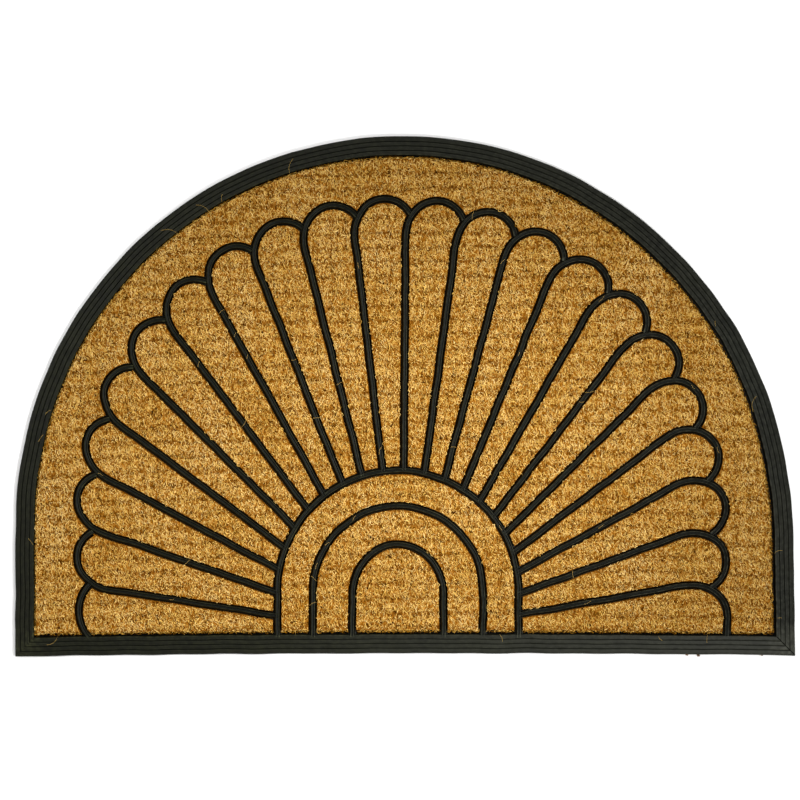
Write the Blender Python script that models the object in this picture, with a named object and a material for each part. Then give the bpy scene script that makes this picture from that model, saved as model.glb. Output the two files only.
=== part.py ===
"""Half-moon coir doormat: one woven coir panel held in one black rubber moulding.

The moulding is a thin back sheet with a stepped, mitred border and a net of ribs. The ribs are pressed
into grooves in the coir: three arches at the foot and a fan of petals round them, each petal's curved
end lapping over the shoulder of the next one. The mat lies flat, with its straight edge towards -Y,
its underside at z = 0 and its origin under the middle of its box. Metres, +Z up.
"""

import math

import bmesh
import bpy
from mathutils import Vector

# Outline: a half circle that stands on two nearly straight sides
ARCH_RADIUS = 0.3718
ARCH_CENTRE = Vector((-0.0024, -0.1215))
ARCH_STEPS = 60
BOTTOM_CORNER_Y = -0.2503
BOTTOM_BOW = 0.0027
BOTTOM_RISE = 0.0012
BOTTOM_STEPS = 8
LEFT_FLARE = 0.0008
RIGHT_FLARE = 0.0056
FLARE_START_DEG = 18.0
FLARE_AT_SPRINGING = 0.62
FLAT_AT_DEG = 45.0
FLAT_SPAN_DEG = 30.0
FLAT_DEPTH = 0.0012

# Thicknesses, all measured up from the floor
BACK_SHEET = 0.0020
OUTER_EDGE = 0.0030
RIB_FOOT = 0.0052
RIB_TOP = 0.0097
COIR_TOP = 0.0110

# Border, from its outer edge inwards
EDGE_BEVEL = 0.0010
LANES = 4
LANE_WIDTH = 0.00365
LANE_RISE = 0.0010
LANE_START = 0.0040
GROOVE_WIDTH = 0.0008
GROOVE_DEPTH = 0.0006
INNER_WALL = 0.0010

# Ribs, and the room that the coir keeps to the rubber under, beside and around it
RIB_TOP_WIDTH = 0.0042
RIB_FOOT_WIDTH = 0.0066
GAP = 0.0003
RIB_SIDE_GAP = 0.0006
TRENCH = 0.0023
COIR_SHIFT = Vector((-0.0014, -0.0003))
COIR_EDGE_BEVEL = 0.0008
GROOVE_CLEARANCE = 0.0020
WELD = 0.00001

# Three arches in the middle of the straight edge; the inner one is a little taller than a half circle
ARCHES_CENTRE = Vector((-0.0070, -0.1868))
ARCHES_RADII = (0.0438, 0.0816, 0.1158)
ARCHES_RISE = (0.0056, 0.0, 0.0)
ARCHES_DROP = (0.0044, 0.0, 0.0)
ARCHES_STEPS = 20

# Fan of petals
PETALS = 22
FAN_FOCUS = Vector((-0.0028, -0.2296))
FAN_CENTRE = Vector((-0.0031, -0.1220))
FAN_REACH = 0.3114
FOLD_REACH = 0.2979
FIRST_FOLD = 0.0469
FOLD_STEP = 0.0543
FOLD_STEP_SHRINK = 0.000066
CAP_RADIUS = 0.0273
FIRST_CAP_RADIUS = 0.0375
FIRST_CAP_IN = 0.0015
LAST_CAP_RADIUS = 0.0296
LAST_CAP_OUT = 0.0014
LAST_CAP_DROP = 0.0046
LAST_CAP_END_DEG = -5.0
SHOULDER_RADIUS = 0.0299
SHOULDER_LENGTH = 0.0340
SHOULDER_TURN_DEG = 52.0
SHOULDER_PULL = 0.38
SHOULDER_STEPS = 4
CAP_STEP_DEG = 17.0
RIB_ROOT = 0.0014

# The fan swells a little at its upper left: petals drift along it, and outwards, about this petal
SWELL_AT = 5.8
SWELL_SPAN = 7.4
SWELL_ALONG = 0.0045
SWELL_OUT = 0.0031

RUBBER_COLOUR = (0.015, 0.015, 0.011)
RUBBER_ROUGHNESS = 0.55
COIR_COLOUR = (0.42, 0.21, 0.045)
COIR_ROUGHNESS = 0.95

BORDER_WIDTH = EDGE_BEVEL + LANES * LANE_WIDTH + (LANES - 1) * GROOVE_WIDTH
FOOT_LINE_Y = BOTTOM_CORNER_Y + BOTTOM_BOW + BORDER_WIDTH


def clear_scene():
    for obj in list(bpy.data.objects):
        bpy.data.objects.remove(obj, do_unlink=True)


def new_collection(name):
    collection = bpy.data.collections.new(name)
    bpy.context.scene.collection.children.link(collection)
    return collection


def principled(name, colour, roughness):
    material = bpy.data.materials.new(name)
    material.use_nodes = True
    shader = material.node_tree.nodes["Principled BSDF"]
    shader.inputs["Base Color"].default_value = (*colour, 1.0)
    shader.inputs["Roughness"].default_value = roughness
    shader.inputs["Metallic"].default_value = 0.0
    material.diffuse_color = (*colour, 1.0)
    return material


def direction(degrees):
    """Unit vector at this angle, counter-clockwise from +X."""
    return Vector((math.cos(math.radians(degrees)), math.sin(math.radians(degrees))))


def bearing(vector):
    """Angle of a vector in degrees, counter-clockwise from +X."""
    return math.degrees(math.atan2(vector.y, vector.x))


def arc_points(centre, radius, start, end, steps):
    """Points along an arc, both ends included, from one angle to another."""
    angles = [start + (end - start) * i / steps for i in range(steps + 1)]
    return [centre + radius * direction(angle) for angle in angles]


def hump(away):
    """1 in the middle, falling smoothly to 0 at a distance of 1 on either side."""
    return math.cos(math.pi / 2.0 * min(1.0, abs(away))) ** 2


def bottom_y(x, half_width):
    """The straight edge bows in a little between its corners, and its right end sits a little higher."""
    share = x / half_width
    return BOTTOM_CORNER_Y + BOTTOM_BOW * (1.0 - share ** 2) + BOTTOM_RISE * (1.0 + share) / 2.0


def outline_points():
    """The mat's edge, counter-clockwise from the lower right corner."""
    points = []
    for point in arc_points(ARCH_CENTRE, ARCH_RADIUS, 0.0, 180.0, ARCH_STEPS):
        angle = bearing(point - ARCH_CENTRE)
        side = min(angle, 180.0 - angle)
        flare = RIGHT_FLARE if angle < 90.0 else -LEFT_FLARE
        spread = max(0.0, 1.0 - side / FLARE_START_DEG) ** 2
        flat = FLAT_DEPTH * hump((angle - FLAT_AT_DEG) / FLAT_SPAN_DEG)
        sideways = Vector((FLARE_AT_SPRINGING * flare * spread, 0.0))
        points.append(point + sideways - flat * direction(angle))
    right = ARCH_CENTRE.x + ARCH_RADIUS + RIGHT_FLARE
    left = ARCH_CENTRE.x - ARCH_RADIUS - LEFT_FLARE
    half_width = (right - left) / 2.0
    bottom = []
    for i in range(BOTTOM_STEPS + 1):
        across = i / BOTTOM_STEPS
        x = left + (right - left) * across
        bottom.append(Vector((x, bottom_y(x - (left + right) / 2.0, half_width))))
    return points + bottom


def parallel(points, distance):
    """A counter-clockwise outline moved inwards, with mitred corners."""
    moved = []
    for before, point, after in zip(points[-1:] + points[:-1], points, points[1:] + points[:1]):
        arriving = (point - before).orthogonal().normalized()
        leaving = (after - point).orthogonal().normalized()
        inward = (arriving + leaving).normalized()
        moved.append(point + inward * (distance / inward.dot(arriving)))
    return moved


def d_point(along, reach):
    """Point on a D that runs parallel to the outline, from its lower left end.

    The distance along is counted on the D that passes through the folds between the petals.
    """
    leg = FAN_CENTRE.y - FOOT_LINE_Y
    half_turn = math.pi * FOLD_REACH
    if along < leg:
        return Vector((FAN_CENTRE.x - reach, FOOT_LINE_Y + along))
    if along > leg + half_turn:
        return Vector((FAN_CENTRE.x + reach, FAN_CENTRE.y - (along - leg - half_turn)))
    angle = 180.0 - math.degrees((along - leg) / FOLD_REACH)
    return FAN_CENTRE + reach * direction(angle)


def swell(petal):
    """Share of the fan's swelling at a petal's place in the row, from 0 to 1."""
    return hump((petal - SWELL_AT) / SWELL_SPAN)


def fold_places():
    """Distances along the D of the folds between petals, with the foot line at both ends."""
    leg = FAN_CENTRE.y - FOOT_LINE_Y
    inner = []
    for i in range(PETALS - 1):
        even = FIRST_FOLD + FOLD_STEP * i - FOLD_STEP_SHRINK * i * i
        inner.append(even + SWELL_ALONG * swell(i + 0.5))
    return [0.0, *inner, 2.0 * leg + math.pi * FOLD_REACH]


def bezier_points(start, first_pull, second_pull, end, steps):
    """Points along a cubic curve, both ends included."""
    points = []
    for i in range(steps + 1):
        t = i / steps
        s = 1.0 - t
        points.append(
            s ** 3 * start + 3 * s * s * t * first_pull + 3 * s * t * t * second_pull + t ** 3 * end
        )
    return points


def arch_crossing(heading):
    """Where a line from the fan's focus meets the outer arch."""
    offset = FAN_FOCUS - ARCHES_CENTRE
    radius = ARCHES_RADII[-1]
    along = offset.dot(heading)
    reach = -along + math.sqrt(along * along - offset.length_squared + radius * radius)
    point = FAN_FOCUS + reach * heading
    if point.y < ARCHES_CENTRE.y:
        side = radius if heading.x > 0.0 else -radius
        run = (ARCHES_CENTRE.x + side - FAN_FOCUS.x) / heading.x
        point = FAN_FOCUS + run * heading
    return point


def petal_stroke(index, folds):
    """Middle line of one petal: up its rib, over its shoulder and round its cap to the next petal."""
    first = index == 0
    last = index == PETALS - 1
    middle = (folds[index] + folds[index + 1]) / 2.0
    reach = FAN_REACH + SWELL_OUT * swell(index)
    radius = CAP_RADIUS
    foot_y = FOOT_LINE_Y - RIB_ROOT
    if first:
        reach -= FIRST_CAP_IN
        radius = FIRST_CAP_RADIUS
    if last:
        middle += LAST_CAP_DROP
        reach += LAST_CAP_OUT
        radius = LAST_CAP_RADIUS
    centre = d_point(middle, reach - radius)
    if last:
        end_angle = LAST_CAP_END_DEG
        tip = centre + radius * direction(end_angle)
        lean = math.tan(math.radians(end_angle))
        leg = [Vector((tip.x + lean * (tip.y - foot_y), foot_y))]
    else:
        leg = []
        fold_reach = FOLD_REACH + SWELL_OUT * swell(index + 0.5)
        end_angle = bearing(d_point(folds[index + 1], fold_reach) - centre)
    if first:
        start_angle = 180.0 + math.degrees(math.asin((centre.y - foot_y) / radius))
        rib = []
    else:
        axis = centre - FAN_FOCUS
        tangent_radius = SHOULDER_RADIUS + radius - CAP_RADIUS
        heading = direction(bearing(axis) + math.degrees(math.asin(tangent_radius / axis.length)))
        tangent_reach = math.sqrt(axis.length_squared - tangent_radius ** 2)
        shoulder = FAN_FOCUS + heading * (tangent_reach - SHOULDER_LENGTH)
        start_angle = bearing(axis) + SHOULDER_TURN_DEG
        cap_start = centre + radius * direction(start_angle)
        cap_heading = direction(start_angle - 90.0)
        pull = SHOULDER_PULL * (cap_start - shoulder).length
        turn = bezier_points(
            shoulder, shoulder + pull * heading, cap_start - pull * cap_heading, cap_start, SHOULDER_STEPS
        )
        rib = [arch_crossing(heading), *turn[:-1]]
    while end_angle > start_angle:
        end_angle -= 360.0
    steps = max(2, round((start_angle - end_angle) / CAP_STEP_DEG))
    return rib + arc_points(centre, radius, start_angle, end_angle, steps) + leg


def arch_stroke(radius, rise, drop):
    """Middle line of one arch, from the border up one leg, over and down the other.

    The half circle springs lower by the drop and is stretched upwards by the rise.
    """
    foot_y = FOOT_LINE_Y - RIB_ROOT
    springing = ARCHES_CENTRE.y - drop
    over = arc_points(ARCHES_CENTRE, radius, 180.0, 0.0, ARCHES_STEPS)
    for point in over:
        point.y = springing + (point.y - ARCHES_CENTRE.y) * (radius + rise) / radius
    return [Vector((over[0].x, foot_y)), *over, Vector((over[-1].x, foot_y))]


def rib_strokes():
    folds = fold_places()
    petals = [petal_stroke(i, folds) for i in range(PETALS)]
    arches = [arch_stroke(*sizes) for sizes in zip(ARCHES_RADII, ARCHES_RISE, ARCHES_DROP)]
    return arches + petals


def flat_outline(name, points, low, high):
    """A 2D curve filled and extruded between two heights, made a closed mesh."""
    curve = bpy.data.curves.new(name, "CURVE")
    curve.dimensions = "2D"
    curve.fill_mode = "BOTH"
    curve.extrude = (high - low) / 2.0
    spline = curve.splines.new("POLY")
    spline.points.add(len(points) - 1)
    for spot, point in zip(spline.points, points):
        spot.co = (point.x, point.y, 0.0, 1.0)
    spline.use_cyclic_u = True
    mesh = mesh_from_curve(name, curve)
    for vertex in mesh.vertices:
        vertex.co.z += (low + high) / 2.0
    return mesh


def mesh_from_curve(name, curve):
    """The curve's evaluated shape as a mesh, with its caps welded."""
    helper = bpy.data.objects.new(name + "_curve", curve)
    bpy.context.scene.collection.objects.link(helper)
    evaluated = helper.evaluated_get(bpy.context.evaluated_depsgraph_get())
    mesh = bpy.data.meshes.new_from_object(evaluated)
    mesh.name = name
    mesh.transform(helper.matrix_world)
    bpy.data.objects.remove(helper, do_unlink=True)
    bm = bmesh.new()
    bm.from_mesh(mesh)
    bmesh.ops.remove_doubles(bm, verts=bm.verts, dist=WELD)
    bmesh.ops.recalc_face_normals(bm, faces=bm.faces)
    bm.to_mesh(mesh)
    bm.free()
    return mesh


def top_face(bm):
    """The flat top made one face, ready to be inset."""
    top = [face for face in bm.faces if face.normal.z > 0.99]
    joined = bmesh.ops.dissolve_faces(bm, faces=top, use_verts=False)
    return joined["region"][0]


def inset(bm, face, width, rise):
    """One parallel step in from the rim, up or down by rise; the corners come out mitred."""
    bmesh.ops.inset_region(
        bm, faces=[face], thickness=width, depth=rise, use_even_offset=True, use_boundary=True
    )


def moulding_tray():
    """Back sheet and stepped border: the outline's top is inset lane by lane, then sunk to the sheet."""
    mesh = flat_outline("rubber_moulding", outline_points(), 0.0, OUTER_EDGE)
    bm = bmesh.new()
    bm.from_mesh(mesh)
    face = top_face(bm)
    height = LANE_START
    inset(bm, face, EDGE_BEVEL, LANE_START - OUTER_EDGE)
    for lane in range(LANES):
        inset(bm, face, LANE_WIDTH, LANE_RISE)
        height += LANE_RISE
        if lane < LANES - 1:
            inset(bm, face, GROOVE_WIDTH / 2.0, -GROOVE_DEPTH)
            inset(bm, face, GROOVE_WIDTH / 2.0, GROOVE_DEPTH + LANE_RISE / 2.0)
            height += LANE_RISE / 2.0
    inset(bm, face, INNER_WALL, BACK_SHEET - height)
    bm.to_mesh(mesh)
    bm.free()
    return mesh


def coir_slab():
    """The coir panel before its grooves: laid a little off centre in the tray, with a worn upper edge."""
    outline = parallel(outline_points(), BORDER_WIDTH + INNER_WALL + TRENCH)
    outline = [point + COIR_SHIFT for point in outline]
    mesh = flat_outline("coir_panel", outline, BACK_SHEET + GAP, COIR_TOP - COIR_EDGE_BEVEL)
    bm = bmesh.new()
    bm.from_mesh(mesh)
    inset(bm, top_face(bm), COIR_EDGE_BEVEL, COIR_EDGE_BEVEL)
    bm.to_mesh(mesh)
    bm.free()
    return mesh


def rib_profile(name, foot, foot_width, top, top_width):
    """Closed cross-section of a rib, wider at its foot; drawn with Y as the height."""
    curve = bpy.data.curves.new(name, "CURVE")
    curve.dimensions = "2D"
    spline = curve.splines.new("POLY")
    corners = ((-foot_width, foot), (foot_width, foot), (top_width, top), (-top_width, top))
    spline.points.add(len(corners) - 1)
    for spot, (width, height) in zip(spline.points, corners):
        spot.co = (width / 2.0, height, 0.0, 1.0)
    spline.use_cyclic_u = True
    profile = bpy.data.objects.new(name, curve)
    bpy.context.scene.collection.objects.link(profile)
    return profile


def stroke_mesh(name, points, profile):
    """A rib: the profile carried along the stroke, with its ends closed."""
    curve = bpy.data.curves.new(name, "CURVE")
    curve.dimensions = "3D"
    curve.twist_mode = "Z_UP"
    curve.bevel_mode = "OBJECT"
    curve.bevel_object = profile
    curve.use_fill_caps = True
    spline = curve.splines.new("POLY")
    spline.points.add(len(points) - 1)
    for spot, point in zip(spline.points, points):
        spot.co = (point.x, point.y, 0.0, 1.0)
    return mesh_from_curve(name, curve)


def add_object(name, mesh, collection, material=None):
    obj = bpy.data.objects.new(name, mesh)
    collection.objects.link(obj)
    if material:
        mesh.materials.append(material)
    return obj


def stroke_set(name, profile):
    """All ribs as helper objects in a collection of their own, for one Boolean."""
    collection = new_collection(name)
    collection.hide_render = True
    for index, points in enumerate(rib_strokes()):
        mesh = stroke_mesh(f"{name}_{index:02d}", points, profile)
        helper = add_object(mesh.name, mesh, collection)
        helper.hide_render = True
        helper.display_type = "WIRE"
    bpy.data.objects.remove(profile, do_unlink=True)
    return collection


def boolean(obj, operation, collection):
    modifier = obj.modifiers.new(operation.title(), "BOOLEAN")
    modifier.operation = operation
    modifier.operand_type = "COLLECTION"
    modifier.collection = collection
    modifier.solver = "EXACT"


def main():
    clear_scene()
    mat = new_collection("coir_doormat")
    rubber = principled("moulded_rubber", RUBBER_COLOUR, RUBBER_ROUGHNESS)
    coir = principled("woven_coir", COIR_COLOUR, COIR_ROUGHNESS)

    ribs = stroke_set("rib", rib_profile("rib_profile", RIB_FOOT, RIB_FOOT_WIDTH, RIB_TOP, RIB_TOP_WIDTH))
    width = RIB_FOOT_WIDTH + 2.0 * RIB_SIDE_GAP
    above = COIR_TOP + GROOVE_CLEARANCE
    grooves = stroke_set("groove", rib_profile("groove_profile", RIB_FOOT - GAP, width, above, width))

    moulding = add_object("rubber_moulding", moulding_tray(), mat, rubber)
    boolean(moulding, "UNION", ribs)
    panel = add_object("coir_panel", coir_slab(), mat, coir)
    boolean(panel, "DIFFERENCE", grooves)


main()
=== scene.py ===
# %% [markdown]
# # A half-moon coir doormat
#
# The real mat is two things pressed together in a hot mould: a coarse woven coir panel, and black rubber
# that flows round its edge and through it, and sets as a stepped border, a net of ribs and a thin back.
# The CAD frame has both as plain solids. This lesson dresses them: a finer rubber moulding, a coir panel
# with the lumps of its weave, and the coir fibres themselves, each one a real sliver of mesh.

# %% Load the frame
import math

import bpy
import numpy as np
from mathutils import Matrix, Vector


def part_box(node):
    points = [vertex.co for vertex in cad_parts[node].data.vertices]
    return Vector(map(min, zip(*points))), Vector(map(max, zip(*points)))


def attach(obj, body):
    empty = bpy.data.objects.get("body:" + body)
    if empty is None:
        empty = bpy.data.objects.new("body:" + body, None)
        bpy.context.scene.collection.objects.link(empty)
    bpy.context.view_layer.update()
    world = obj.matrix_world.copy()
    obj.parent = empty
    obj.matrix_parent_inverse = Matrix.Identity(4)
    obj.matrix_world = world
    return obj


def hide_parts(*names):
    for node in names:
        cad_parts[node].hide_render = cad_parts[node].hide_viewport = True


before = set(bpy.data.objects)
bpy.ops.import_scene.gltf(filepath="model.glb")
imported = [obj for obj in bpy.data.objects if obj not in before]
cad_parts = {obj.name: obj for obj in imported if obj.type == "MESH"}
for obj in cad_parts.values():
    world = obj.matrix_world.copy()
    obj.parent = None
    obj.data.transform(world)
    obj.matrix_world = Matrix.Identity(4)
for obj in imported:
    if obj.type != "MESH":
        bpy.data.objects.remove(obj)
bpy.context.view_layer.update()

MM = 0.001
SEED = 23

# %% [markdown]
# ## Small helpers
#
# One function turns a hex colour, as a paint chart gives it, into the linear numbers that a shader wants.
# One function adds a shader node with its settings and its links. Everything else is made with the same
# operators that the menus call, so a helper makes sure that only the wanted object is selected. Others read
# where a mesh's corners are, and give each corner a number that a material can use.

# %% Colours, nodes and meshes


def linear(hex_colour):
    """An sRGB hex colour as linear red, green, blue and full alpha."""
    parts = [int(hex_colour[i : i + 2], 16) / 255.0 for i in (1, 3, 5)]
    return (*[p / 12.92 if p <= 0.04045 else ((p + 0.055) / 1.055) ** 2.4 for p in parts], 1.0)


def add_node(tree, kind, inputs=None, stops=None, **settings):
    """Adds a node: settings are its own, inputs are values or sockets to link from, stops a ramp's."""
    made = tree.nodes.new("ShaderNode" + kind)
    for name, value in settings.items():
        setattr(made, name, value)
    for name, value in (inputs or {}).items():
        if isinstance(value, bpy.types.NodeSocket):
            tree.links.new(value, made.inputs[name])
        else:
            made.inputs[name].default_value = value
    for index, (place, hex_colour) in enumerate(stops or ()):
        element = made.color_ramp.elements[index] if index < 2 else made.color_ramp.elements.new(place)
        element.position = place
        element.color = linear(hex_colour)
    return made


def new_material(name):
    """An empty material: its tree, its shader and the object coordinates, in metres."""
    material = bpy.data.materials.new(name)
    material.use_nodes = True
    shader = material.node_tree.nodes["Principled BSDF"]
    place = add_node(material.node_tree, "TexCoord").outputs["Object"]
    return material, material.node_tree, shader, place


def pick_only(obj):
    """Deselects all and makes this the one selected, active object."""
    bpy.ops.object.select_all(action="DESELECT")
    obj.select_set(True)
    bpy.context.view_layer.objects.active = obj


def close_edit():
    """Points every face outwards and leaves edit mode."""
    bpy.ops.mesh.select_all(action="SELECT")
    bpy.ops.mesh.normals_make_consistent(inside=False)
    bpy.ops.object.mode_set(mode="OBJECT")


def corner_places(obj):
    """Where a mesh's corners are, in metres: one row of three numbers for each."""
    places = np.empty(len(obj.data.vertices) * 3)
    obj.data.vertices.foreach_get("co", places)
    return places.reshape(-1, 3)


def keep_values(mesh, name, values):
    """Keeps one number for each corner of a mesh as an attribute, for a material to read."""
    mesh.attributes.new(name, "FLOAT", "POINT").data.foreach_set("value", values.astype(np.float32))


def triangles(obj):
    return sum(len(face.vertices) - 2 for face in obj.data.polygons)


def ripple(x, y, size, seed):
    """Smooth unevenness from -1 to 1 or so, with bumps about this size across: a sum of slanted waves."""
    draw = np.random.default_rng(seed)
    total = 0.0
    waves = 9
    for _ in range(waves):
        turn = draw.uniform(0.0, 2.0 * math.pi)
        length = size * draw.uniform(0.7, 1.6)
        shift = draw.uniform(0.0, 2.0 * math.pi)
        total = total + np.sin((x * math.cos(turn) + y * math.sin(turn)) * 2.0 * math.pi / length + shift)
    return total / math.sqrt(waves)


# %% [markdown]
# ## Camera, floor and light
#
# The photograph looks straight down, with the mat's straight edge at the foot of the picture, so the camera
# hangs high above with a long lens and its top side is +Y. The floor is plain and nearly white. The light is
# soft and comes mostly from the right, low enough that the flat rubber doesn't mirror it: that keeps the
# rubber black, and lets only its rounded edges shine.

# %% Camera
PICTURE_WIDTH = 768.8 * MM
LENS_MM = 200.0
SENSOR_MM = 36.0
AIM = Vector((-5.1 * MM, -3.5 * MM, 5.0 * MM))

distance = PICTURE_WIDTH * LENS_MM / SENSOR_MM
bpy.ops.object.camera_add(location=AIM + Vector((0.0, 0.0, distance)), rotation=(0.0, 0.0, 0.0))
camera = bpy.context.object
camera.name = "overhead_camera"
camera.data.lens = LENS_MM
camera.data.sensor_width = SENSOR_MM
camera.data.clip_start = 0.05
camera.data.clip_end = 50.0
bpy.context.scene.camera = camera
print("camera is", round(distance, 3), "m above the mat")

# %% Floor
FLOOR_SIZE = 12.0
FLOOR_DROP = 0.2 * MM

bpy.ops.mesh.primitive_plane_add(size=FLOOR_SIZE, location=(0.0, 0.0, -FLOOR_DROP))
floor = bpy.context.object
floor.name = "pale_floor"
# Matt painted board: one even white, with no gloss to mirror the lights.
floor_paint, tree, shader, place = new_material("matt_white_board")
shader.inputs["Base Color"].default_value = linear("#fbfbfa")
shader.inputs["Roughness"].default_value = 0.9
shader.inputs["Specular IOR Level"].default_value = 0.1
floor.data.materials.append(floor_paint)
print("floor:", FLOOR_SIZE, "m square,", round(FLOOR_DROP / MM, 1), "mm under the mat")

# %% Lights
KEY = {"place": (0.85, -0.95, 1.35), "size": 0.6, "watts": 23.0}
FILL = {"place": (-1.30, 0.60, 1.45), "size": 1.4, "watts": 17.0}
BACK = {"place": (0.30, 1.50, 1.50), "size": 1.2, "watts": 11.0}
LAMP = {"place": (1.35, 0.30, 1.45), "watts": 204.0, "cone_deg": 18.6, "bulb": 0.10}
LAMP_AIM = Vector((-0.062, -0.085, 0.0))
SKY_STRENGTH = 0.37


def turned_to(place, target):
    """The rotation that points a light or a camera at the target."""
    return (target - Vector(place)).to_track_quat("-Z", "Y").to_euler()


def softbox(name, place, size, watts):
    """A square soft light that faces the middle of the mat."""
    bpy.ops.object.light_add(type="AREA", location=place, rotation=turned_to(place, AIM))
    light = bpy.context.object
    light.name = name
    light.data.size = size
    light.data.energy = watts


softbox("key_softbox", **KEY)
softbox("fill_softbox", **FILL)
softbox("back_softbox", **BACK)
# A lamp with a soft-edged cone: the middle of the mat is a little brighter than its rim, as photographed.
bpy.ops.object.light_add(type="SPOT", location=LAMP["place"], rotation=turned_to(LAMP["place"], LAMP_AIM))
lamp = bpy.context.object
lamp.name = "lamp_with_soft_cone"
lamp.data.energy = LAMP["watts"]
lamp.data.spot_size = math.radians(LAMP["cone_deg"])
lamp.data.spot_blend = 1.0
lamp.data.shadow_soft_size = LAMP["bulb"]
world = bpy.data.worlds.new("plain_room")
world.use_nodes = True
world.node_tree.nodes["Background"].inputs["Color"].default_value = (1.0, 1.0, 1.0, 1.0)
world.node_tree.nodes["Background"].inputs["Strength"].default_value = SKY_STRENGTH
bpy.context.scene.world = world
bpy.context.scene.view_settings.view_transform = "Standard"
print("lights, W:", [light["watts"] for light in (KEY, FILL, BACK, LAMP)], "and sky at", SKY_STRENGTH)

# %% [markdown]
# ## The drawing of the mat
#
# The outline is a half circle on two short sides. Inside it, three arches stand in the middle, and a fan of
# 22 petals radiates from them. Each petal is one stroke: up its rib, over its shoulder and round its cap, to
# end on the shoulder of the next petal. These are the CAD solids' own sizes and curves, drawn with finer
# steps, and with the slight waver that hot rubber leaves.

# %% Sizes of the outline, in metres
ARCH_RADIUS = 0.3718
ARCH_CENTRE = Vector((-0.0024, -0.1215))
BOTTOM_CORNER_Y = -0.2503
BOTTOM_BOW = 0.0027
BOTTOM_RISE = 0.0012
LEFT_FLARE = 0.0008
RIGHT_FLARE = 0.0056
FLARE_START_DEG = 18.0
FLARE_AT_SPRINGING = 0.62
FLAT_AT_DEG = 45.0
FLAT_SPAN_DEG = 30.0
FLAT_DEPTH = 0.0012
OUTLINE_STEP = 4.5 * MM
CORNER_CLEAR = 26.0 * MM
BORDER_WIDTH = 18.0 * MM
INNER_WALL = 1.0 * MM
FOOT_LINE_Y = BOTTOM_CORNER_Y + BOTTOM_BOW + BORDER_WIDTH


def direction(degrees):
    return Vector((math.cos(math.radians(degrees)), math.sin(math.radians(degrees))))


def bearing(vector):
    return math.degrees(math.atan2(vector.y, vector.x))


def arc_points(centre, radius, start, end, step):
    """Points along an arc from one angle to another, about one step apart."""
    count = max(2, round(abs(math.radians(end - start)) * radius / step))
    return [centre + radius * direction(start + (end - start) * i / count) for i in range(count + 1)]


def straight(start, end, step):
    """Points from start up to, but without, the end."""
    count = max(1, round((end - start).length / step))
    return [start.lerp(end, i / count) for i in range(count)]


def hump(away):
    """1 in the middle, falling smoothly to 0 at a distance of 1 on either side."""
    return math.cos(math.pi / 2.0 * min(1.0, abs(away))) ** 2


def outline_points():
    """The mat's edge, counter-clockwise from the lower right side.

    No point lies near a corner, so that the border can be inset there without its edges crossing.
    """
    points = []
    for point in arc_points(ARCH_CENTRE, ARCH_RADIUS, 0.0, 180.0, OUTLINE_STEP):
        angle = bearing(point - ARCH_CENTRE)
        side = min(angle, 180.0 - angle)
        flare = RIGHT_FLARE if angle < 90.0 else -LEFT_FLARE
        spread = max(0.0, 1.0 - side / FLARE_START_DEG) ** 2
        flat = FLAT_DEPTH * hump((angle - FLAT_AT_DEG) / FLAT_SPAN_DEG)
        sideways = Vector((FLARE_AT_SPRINGING * flare * spread, 0.0))
        points.append(point + sideways - flat * direction(angle))
    right = ARCH_CENTRE.x + ARCH_RADIUS + RIGHT_FLARE
    left = ARCH_CENTRE.x - ARCH_RADIUS - LEFT_FLARE
    corner_left = Vector((left, BOTTOM_CORNER_Y))
    corner_right = Vector((right, BOTTOM_CORNER_Y + BOTTOM_RISE))
    down = straight(points[-1], corner_left, OUTLINE_STEP)[1:]
    up = straight(points[0], corner_right, OUTLINE_STEP)[:0:-1]
    across = round((right - left) / OUTLINE_STEP)
    bottom = []
    for i in range(across + 1):
        share = i / across
        bow = BOTTOM_BOW * (1.0 - (2.0 * share - 1.0) ** 2)
        bottom.append(Vector((left + (right - left) * share, BOTTOM_CORNER_Y + bow + BOTTOM_RISE * share)))
    corners = (corner_left, corner_right)
    return [
        point
        for point in points + down + bottom + up
        if min((point - corner).length for corner in corners) > CORNER_CLEAR or point in corners
    ]


def parallel(points, distance):
    """A counter-clockwise outline moved inwards, with mitred corners."""
    moved = []
    for before, point, after in zip(points[-1:] + points[:-1], points, points[1:] + points[:1]):
        arriving = (point - before).orthogonal().normalized()
        leaving = (after - point).orthogonal().normalized()
        inward = (arriving + leaving).normalized()
        moved.append(point + inward * (distance / inward.dot(arriving)))
    return moved


edge = outline_points()
print("outline:", len(edge), "points")

# %% Sizes of the arches and the fan, in metres
ARCHES_CENTRE = Vector((-0.0070, -0.1868))
ARCHES_RADII = (0.0438, 0.0816, 0.1158)
ARCHES_RISE = (0.0056, 0.0, 0.0)
ARCHES_DROP = (0.0044, 0.0, 0.0)
PETALS = 22
FAN_FOCUS = Vector((-0.0028, -0.2296))
FAN_CENTRE = Vector((-0.0031, -0.1220))
FAN_REACH = 0.3114
FOLD_REACH = 0.2979
FIRST_FOLD = 0.0469
FOLD_STEP = 0.0543
FOLD_STEP_SHRINK = 0.000066
CAP_RADIUS = 0.0273
FIRST_CAP_RADIUS = 0.0375
FIRST_CAP_IN = 0.0015
LAST_CAP_RADIUS = 0.0296
LAST_CAP_OUT = 0.0014
LAST_CAP_DROP = 0.0046
LAST_CAP_END_DEG = -5.0
SHOULDER_RADIUS = 0.0299
SHOULDER_LENGTH = 0.0340
SHOULDER_TURN_DEG = 52.0
SHOULDER_PULL = 0.38
SHOULDER_STEPS = 12
STROKE_STEP = 4.0 * MM
RIB_ROOT = 1.4 * MM
# The fan swells a little at its upper left: petals drift along it, and outwards, about this petal.
SWELL_AT = 5.8
SWELL_SPAN = 7.4
SWELL_ALONG = 4.5 * MM
SWELL_OUT = 3.1 * MM


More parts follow.
